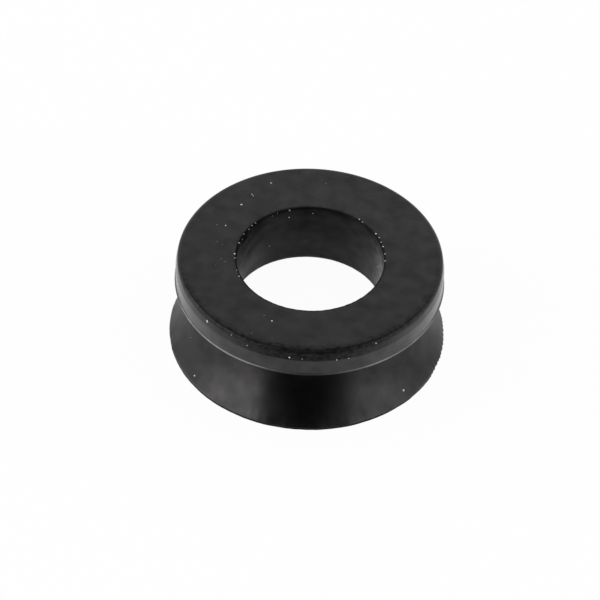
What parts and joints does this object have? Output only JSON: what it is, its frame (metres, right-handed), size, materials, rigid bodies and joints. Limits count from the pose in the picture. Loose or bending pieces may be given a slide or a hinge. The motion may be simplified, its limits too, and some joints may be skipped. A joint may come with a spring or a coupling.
{
  "type": "blender blade seal",
  "caption": "Black rubber lip seal for the shaft of a blender's blade: flat heel ring, plain bore, V groove under the rim and a thin flared lip that rests on the seat.",
  "frame": {"origin": "on the bore's axis, in the plane that the lip's edge rests on", "axes": "+Z along the bore axis, from the lip towards the flat heel face; X and Y are free, because the seal is turned about Z"},
  "size_m": [0.0164, 0.0164, 0.0061],
  "materials": {
    "rubber": "satin"
  },
  "bodies": {
    "root": {"blade_seal": "rubber"}
  },
  "joints": []
}
